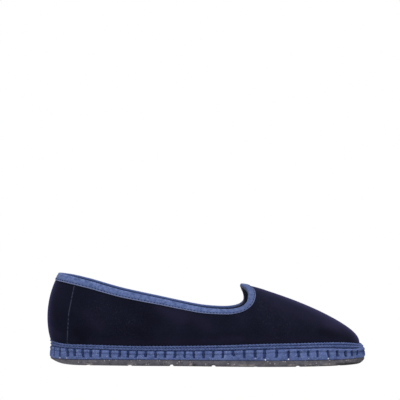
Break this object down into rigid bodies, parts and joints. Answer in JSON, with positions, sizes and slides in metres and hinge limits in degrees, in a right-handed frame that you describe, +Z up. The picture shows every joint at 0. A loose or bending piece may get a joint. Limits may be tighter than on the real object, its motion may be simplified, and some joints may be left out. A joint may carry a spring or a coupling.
{
  "type": "slipper loafer",
  "caption": "Low slip-on velvet loafer with a bound collar and peaked throat, a yarn welt, a stitched cloth-covered sole and a thin rubber tread.",
  "frame": {"origin": "on the ground plane under the middle of the shoe's length and width", "axes": "+X towards the toe, -Y towards the outer side of the foot, +Z up"},
  "size_m": [0.2625, 0.0896, 0.075],
  "materials": {
    "velvet": "dark navy velvet pile",
    "ribbed_tape": "light-blue ribbed tape",
    "welt_yarn": "blue yarn braid",
    "stitched_cloth": "blue cloth with upright stitches",
    "insole_cloth": "dark plain cloth",
    "tread_rubber": "matt grey rubber with pale specks"
  },
  "bodies": {
    "root": {"upper": "velvet", "collar_binding": "ribbed_tape", "welt": "welt_yarn", "midsole": "stitched_cloth", "insole": "insole_cloth", "outsole": "tread_rubber"}
  },
  "joints": []
}
